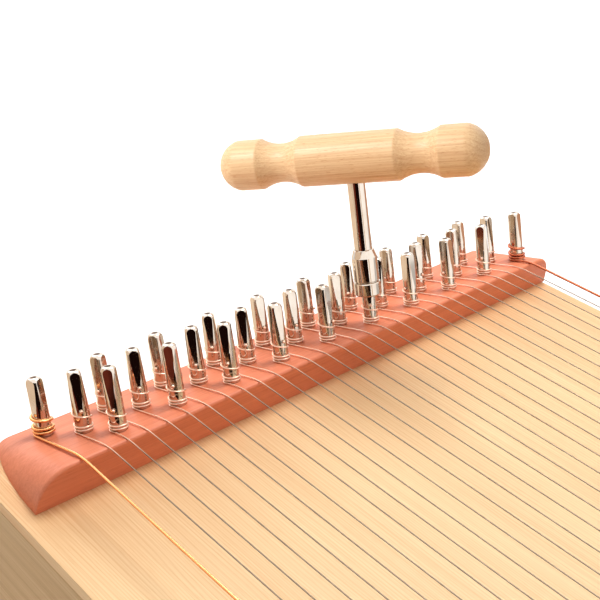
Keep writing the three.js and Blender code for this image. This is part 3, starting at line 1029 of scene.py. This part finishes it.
    def hole_end(self, index: int) -> Piece:
        """Builds a string's end in its pin's hole, which turns with the pin.

        A plain string ends in a small bead in front of the hole, a bass string inside it.

        Args:
            index: The string's number.

        Returns:
            The end, in place.
        """
        half, mouth, bead = self.diameter(index) / 2, self.pins[0].diameter / 2, self.bead_radius
        profile = [(half, self.end_inset - mouth), (half, mouth)]
        if half < bead / 2:
            last = math.asin(half / bead)
            centre = -mouth - self.touch - bead * math.cos(last)
            angles = np.linspace(math.pi - last, last, self.bead_rings)
            profile = [*((bead * math.sin(a), centre + bead * math.cos(a)) for a in angles), profile[1]]
        end = turned(f"string_{index + 1:02d}_end", profile, self.end_sides)
        spin = Matrix.Rotation(self.hole_angle(index), 4, "Z")
        end.data.transform(self.stand(index) @ spin @ laid_at(self.pins[0].hole_height))
        return end

    def path(self, index: int) -> tuple[np.ndarray, np.ndarray, np.ndarray]:
        """Draws a string with its bend at the pin's hole and its twisted end at the hitch rod.

        Args:
            index: The string's number.

        Returns:
            The points of the bend, of the string and of the twisted end, in millimetres.
        """
        turns = self.winding(index)
        coil = self.placed(index, turns)
        bend = self.placed(index, self.start_bend(index, turns[0]))
        half = self.diameter(index) / 2
        back = self.bend_radius - self.blocks.edge_radius - half - self.touch
        middle = (math.pi + SLOPE) / 2
        head = self.blocks.edge_centre() - back * np.array([math.cos(middle), math.sin(middle)])
        tail = head * (-1, 1)
        rod, reach = self.rod_centre(), self.rod_diameter / 2 + half + self.touch
        leave = tangent_angle(coil[-1][[0, 2]], 0.0, head, self.bend_radius)
        fall = tangent_angle(tail, self.bend_radius, rod, reach)
        side_view = np.vstack([
            arc(head, self.bend_radius, leave, math.pi / 2, self.bend_steps),
            arc(tail, self.bend_radius, math.pi / 2, fall, self.bend_steps),
            arc(rod, reach, fall, self.rod_last_angle, self.rod_steps)])
        y = coil[-1][1]
        span = np.insert(side_view, 1, y, axis=1)
        return bend, np.vstack([coil, span]), self.twist(rod, reach, fall, y, half)

    def twist(self, rod: np.ndarray, reach: float, fall: float, y: float, half: float) -> np.ndarray:
        """Draws the string's end, which comes up beside the rod and twists round the string.

        Args:
            rod: The rod's centre, as x and z.
            reach: The distance from the rod's centre to the string's.
            fall: The angle where the string meets the rod.
            y: The string's place across the block.
            half: The string's radius.

        Returns:
            The twisted end's points, in millimetres.
        """
        across = np.array([0.0, 1.0, 0.0])
        up = np.array([math.cos(fall), 0.0, math.sin(fall)])
        back = np.array([-math.sin(fall), 0.0, math.cos(fall)])
        touch = np.array([rod[0], y, rod[1]]) + reach * up
        clear = 2 * half + self.touch
        start = math.pi - SLOPE - math.asin((half + 3 * self.touch) / reach)
        rise = np.insert(
            arc(rod, reach, start, fall + self.twist_rise, self.rise_steps), 1, y + clear, axis=1)
        turns = np.linspace(0.0, self.twist_turns, round(self.twist_turns * self.twist_steps) + 1)
        return np.vstack([rise, [
            touch + back * (self.twist_start + self.twist_pitch * turn)
            + clear * (math.cos(2 * math.pi * turn) * across + math.sin(2 * math.pi * turn) * up)
            for turn in turns]])

    def build(self) -> None:
        """Builds the pins, the strings and the hitch rod."""
        nickel, steel, dark_reflection = NICKEL.material(), STEEL.material(), DIMPLE_DARK_REFLECTION.material()
        shapes = [pin.build(f"pin_shape_{i}") for i, pin in enumerate(self.pins)]
        for index in range(STRING_COUNT):
            body = f"pin_{index + 1:02d}"
            pin = linked(f"{body}_head", shapes[index % len(shapes)].data)
            pin.matrix_world = self.stand(index) @ Matrix.Rotation(self.hole_angle(index), 4, "Z")
            settle(pin, body, Slot.NICKEL, nickel, f"tuning_{body}")
        # Each pin shape's dimple gets its painted dark reflection.
        for pin, shape in zip(self.pins, shapes):
            pin.paint_dark_reflection(shape.data, dark_reflection)
            bpy.data.objects.remove(shape)
        outer = {
            0: (Slot.BRONZE, BRONZE.material(), "bronze_string"),
            STRING_COUNT - 1: (Slot.COPPER, COPPER.material(), "copper_string")}
        for index in range(STRING_COUNT):
            slot, material, node = outer.get(index, (Slot.STEEL, steel, "plain_strings"))
            bend, string, end = self.path(index)
            half = self.diameter(index) / 2
            name, body = f"string_{index + 1:02d}", f"pin_{index + 1:02d}"
            if index in outer:
                string = np.vstack([bend[:-1], string])
            else:
                settle(wire(f"{name}_bend", bend, half), body, slot, material)
            settle(wire(name, string, half), "sound_box", slot, material, node)
            settle(wire(f"{name}_twist", end, half, self.twist_sides), "sound_box", slot, material)
            settle(self.hole_end(index), body, slot, material)
        settle(self.rod("hitch_rod"), "sound_box", Slot.STEEL, steel, "plain_strings")


@dataclass
class TuningKey:
    """The key on its pin: a turned wooden handle, a nickel shaft and a nickel socket."""

    stringing: Stringing
    handle_height: float = 60.6
    handle_turn_deg: float = 28.3
    handle_shift: float = -1.1
    handle_length: float = 97.8
    handle_diameter: float = 18.1
    waist_diameter: float = 13.8
    middle_end: float = 17.7
    knob_start: float = 32.8
    dome_height: float = 7.2
    soft_edge: float = 0.25
    cove_rings: int = 25
    dome_rings: int = 17
    handle_sides: int = 96
    handle_sharp_deg: float = 12.0
    shaft_diameter: float = 6.4
    shaft_sunk: float = 0.5
    shaft_past_axis: float = 4.0
    socket_foot: float = 10.7
    ring_height: float = 5.0
    ring_diameter: float = 9.8
    socket_top: float = 24.9
    socket_diameter: float = 9.3
    socket_sides: int = 72
    socket_sharp_deg: float = 25.0
    cone_height: float = 2.7
    cone_diameter: float = 7.2
    groove: float = 0.35
    groove_foot: float = 0.2
    groove_top: float = 0.4
    edge: float = 0.5
    head_slack: float = 0.1
    hole_past_foot: float = 5.0
    hole_past_head: float = 0.6

    def handle_profile(self) -> list[Pair]:
        """Draws the handle's radius from one knob's end to the other's.

        Returns:
            Radius and height pairs along the handle.
        """
        full, waist = self.handle_diameter / 2, self.waist_diameter / 2
        half_length, soft, tall = self.handle_length / 2, self.soft_edge, self.dome_height
        reach = (self.knob_start - self.middle_end) / 2
        centre = (self.knob_start + self.middle_end) / 2
        cove = (reach ** 2 + (full - waist) ** 2) / (2 * (full - waist))
        ball = (full ** 2 + tall ** 2) / (2 * tall)
        dome_start = half_length - tall
        half = [(full, z) for z in np.linspace(0.0, self.middle_end - soft, 4)]
        half += [(waist + cove - math.sqrt(cove ** 2 - z ** 2), centre + z)
                 for z in np.linspace(soft - reach, reach - soft, self.cove_rings)]
        half += [(full, self.knob_start + soft), (full, dome_start - soft)]
        half += [(math.sqrt(ball ** 2 - (ball - tall + z) ** 2), dome_start + z)
                 for z in np.linspace(soft, tall - 0.01, self.dome_rings)]
        half.append((CAP_RADIUS, half_length))
        return [(r, -z) for r, z in half[:0:-1]] + half

    def socket(self) -> Piece:
        """Builds the socket with its square hole.

        Returns:
            The socket.
        """
        ring, body, cone = self.ring_diameter / 2, self.socket_diameter / 2, self.cone_diameter / 2
        foot, ring_top, top = self.socket_foot, self.socket_foot + self.ring_height, self.socket_top
        cone_top, soft, edge = top + self.cone_height, self.edge / 3, self.edge
        made = turned("key_socket_nickel", [
            (CAP_RADIUS, foot), (ring - edge, foot), (ring - soft, foot + soft), (ring, foot + edge),
            (ring, ring_top - edge), (ring - soft, ring_top - soft),
            (body - self.groove, ring_top), (body - self.groove, ring_top + self.groove_foot),
            (body - soft, ring_top + self.groove_top), (body, ring_top + edge),
            (body, top - soft), (body - soft, top + soft), (cone + soft, cone_top - soft),
            (cone, cone_top), (CAP_RADIUS, cone_top)], self.socket_sides)
        head = self.stringing.pins[KEYED_PIN % len(self.stringing.pins)]
        points = []
        for height in (foot - self.hole_past_foot, head.proud + self.hole_past_head):
            half = head.flat_at(height) + self.head_slack
            points += [(x * half, y * half, height) for x, y in ((1, 1), (-1, 1), (-1, -1), (1, -1))]
        hole = new_object("square_cutter", np.array(points), skin(2, 4))
        hole.data.transform(Matrix.Rotation(self.stringing.hole_angle(KEYED_PIN), 4, "Z"))
        cut(made, hole)
        smooth(made, self.socket_sharp_deg)
        return made

    def build(self) -> Piece:
        """Builds the key's three pieces on its pin.

        Returns:
            The handle.
        """
        stand, nickel = self.stringing.stand(KEYED_PIN), NICKEL.material()
        handle = turned("key_handle_wood", self.handle_profile(), self.handle_sides)
        smooth(handle, self.handle_sharp_deg)
        lay = Matrix.Translation((0, 0, self.handle_height * MM)) @ Matrix.Rotation(
            math.radians(self.handle_turn_deg), 4, "Z") @ Matrix.Translation(
            (self.handle_shift * MM, 0, 0)) @ laid_at(0.0)
        radius = self.shaft_diameter / 2
        shaft = turned("key_shaft_nickel", [
            (radius, self.socket_top - self.shaft_sunk),
            (radius, self.handle_height + self.shaft_past_axis)])
        for piece, place, slot, material, node in (
                (handle, stand @ lay, Slot.BEECH, BEECH.material(Grain.OWN), "key_handle"),
                (shaft, stand, Slot.NICKEL, nickel, "key_shaft"),
                (self.socket(), stand, Slot.NICKEL, nickel, "key_socket")):
            turn_in(piece, place)
            settle(piece, "key", slot, material, node)
        return handle


@dataclass
class Studio:
    """The camera at the photograph's viewing angle, soft lamps and a pale floor."""

    lens: float = 62.93
    azimuth_deg: float = 43.99
    elevation_deg: float = 29.70
    roll_deg: float = 6.15
    camera_mm: Triple = (-63.96, -230.89, 263.96)
    clip_start: float = 0.01
    lamp_aim: Triple = (-0.2, 0.0, 0.06)
    room_light: float = 0.46
    glossy_light: float = 1.8
    floor_size: float = 12.0
    floor_drop: float = 0.3
    floor_glow: float = 0.42
    floor_colour: Colour = (0.82, 0.82, 0.82, 1.0)
    card_radius: float = 330.0
    card_centre: Pair = (-270.0, 10.0)
    card_posts: int = 16
    card_foot: float = 1.0
    lamps: list[Piece] = field(default_factory=list)

    def camera(self) -> None:
        """Places the camera."""
        data = bpy.data.cameras.new("camera")
        data.lens = self.lens
        data.clip_start = self.clip_start
        made = linked("camera", data)
        turn, rise = math.radians(self.azimuth_deg), math.radians(self.elevation_deg)
        back = Vector((math.sin(turn) * math.cos(rise), -math.cos(turn) * math.cos(rise), math.sin(rise)))
        level = Vector((math.cos(turn), math.sin(turn), 0.0))
        right = Matrix.Rotation(math.radians(self.roll_deg), 3, back) @ level
        rotation = Matrix((right, back.cross(right), back)).transposed()
        made.matrix_world = Matrix.Translation(Vector(self.camera_mm) * MM) @ rotation.to_4x4()
        bpy.context.scene.camera = made

    def lamp(self, name: str, place: Triple, size: float, watts: float) -> Piece:
        """Adds a soft square lamp that faces the instrument.

        Args:
            name: The lamp's name.
            place: Where it hangs, in metres.
            size: Its side, in metres.
            watts: Its power.

        Returns:
            The lamp.
        """
        data = bpy.data.lights.new(name, "AREA")
        data.size = size
        data.energy = watts
        made = linked(name, data)
        made.rotation_mode = "QUATERNION"
        made.rotation_quaternion = (Vector(self.lamp_aim) - Vector(place)).to_track_quat("-Z", "Y")
        made.location = place
        return made

    def light_apart(self, piece: Piece) -> None:
        """Lights one piece with a lamp of its own, and keeps the other lamps off it.

        Args:
            piece: The piece.
        """
        own = self.lamp("handle_lamp", (-0.75, -0.75, 0.95), 0.5, 13.0)
        for lamp in (own, *self.lamps):
            reach = bpy.data.collections.new(f"{lamp.name}_reach")
            reach.objects.link(piece)
            if lamp is not own:
                reach.collection_objects[0].light_linking.link_state = "EXCLUDE"
            lamp.light_linking.receiver_collection = reach

    def world(self) -> None:
        """Lights the room evenly, and shows it white to the camera and in reflections."""
        bpy.context.scene.world = bpy.data.worlds.new("room")
        g = Graph(bpy.context.scene.world)
        rays, level = g.node("LightPath").outputs, self.room_light
        for ray, strength in (("Is Camera Ray", 1.0), ("Is Glossy Ray", self.glossy_light)):
            level = g.math("MULTIPLY_ADD", rays[ray], strength - self.room_light, level)
        white = g.node("Background", {"Color": (1.0, 1.0, 1.0, 1.0), "Strength": level})
        g.finish(white, "OutputWorld")

    def floor(self) -> None:
        """Lays the floor, which shows white to the camera and keeps the shadow."""
        half, z = self.floor_size / 2 / MM, -self.floor_drop
        made = new_object("floor", np.array([
            (-half, -half, z), (half, -half, z), (half, half, z), (-half, half, z)]), [[0, 1, 2, 3]])
        g = Graph(bpy.data.materials.new("pale_floor"))
        rays = g.node("LightPath").outputs
        seen = g.math("MAXIMUM", rays["Is Camera Ray"], rays["Is Glossy Ray"])
        matt = g.node("BsdfDiffuse", {"Color": self.floor_colour})
        glow = g.node("Emission", {"Strength": g.math("MULTIPLY", seen, self.floor_glow)})
        made.data.materials.append(g.finish(g.node("AddShader", {
            0: matt.outputs[0], 1: glow.outputs[0]})))

    def card(self, name: str, colour: Colour, start_deg: float, end_deg: float, high: float,
             inner_radius: float) -> None:
        """Sets a curved card round the key, which only shows in reflections.

        Its first edge is near the ground at card_radius. The second one is above it where the card
        stands, and inside it where the card lies flat.

        Args:
            name: The card's name.
            colour: Its colour.
            start_deg: The angle from X where it starts.
            end_deg: The angle where it ends.
            high: The second edge's height in millimetres.
            inner_radius: The second edge's distance from the key in millimetres.
        """
        angles = np.radians(np.linspace(start_deg, end_deg, self.card_posts))
        x, y = self.card_centre
        points = np.concatenate([
            np.stack([reach * np.cos(angles) + x, reach * np.sin(angles) + y, np.full(len(angles), z)], 1)
            for reach, z in ((self.card_radius, min(self.card_foot, high)), (inner_radius, high))])
        made = new_object(name, points, quads(2, self.card_posts, closed=False))
        g = Graph(bpy.data.materials.new(f"{name}_cloth"))
        made.data.materials.append(g.finish(g.node("Emission", {
            "Color": colour, "Strength": self.glossy_light})))
        for ray in ("camera", "diffuse", "shadow", "transmission"):
            setattr(made, f"visible_{ray}", False)

    def build(self) -> None:
        """Sets up the camera, the lamps, the room and the floor."""
        self.camera()
        bpy.context.scene.view_settings.view_transform = "Standard"
        self.world()
        self.floor()
        for name, colour, start_deg, end_deg, high in (
                ("beige_card", shade(214, 194, 172), -150.0, -88.0, 260.0),
                ("red_card", shade(96, 42, 30), -88.0, -65.0, 260.0),
                ("black_card", shade(20, 8, 6), -65.0, -19.0, 300.0),
                ("beige_stripe", shade(206, 170, 140), -10.0, -3.0, 260.0),
                ("brown_card", shade(186, 140, 112), 62.0, 100.0, 200.0)):
            self.card(name, colour, start_deg, end_deg, high, self.card_radius)
        self.card("cream_floor", shade(226, 206, 182), -230.0, -65.0, -0.1, 20.0)
        self.lamps += [
            self.lamp("key_lamp", (-0.45, 0.4, 1.0), 0.45, 8.5),
            self.lamp("slope_lamp", (-1.46, 0.14, 0.65), 0.6, 4.0)]


def main() -> None:
    """Builds the studio and the instrument, piece by piece."""
    logging.basicConfig(level=logging.INFO, format="%(name)s %(message)s")
    studio = Studio()
    studio.build()
    blocks = WedgeBlocks()
    stringing = Stringing(blocks)
    groove = stringing.rod("rod_cutter", stringing.bore_slack, stringing.groove_overhang)
    blocks.build(stringing.pin_cutter("block_bores"), groove)
    SoundBox().build(stringing.pin_cutter("board_bores"))
    stringing.build()
    studio.light_apart(TuningKey(stringing).build())


if __name__ == "__main__":
    main()
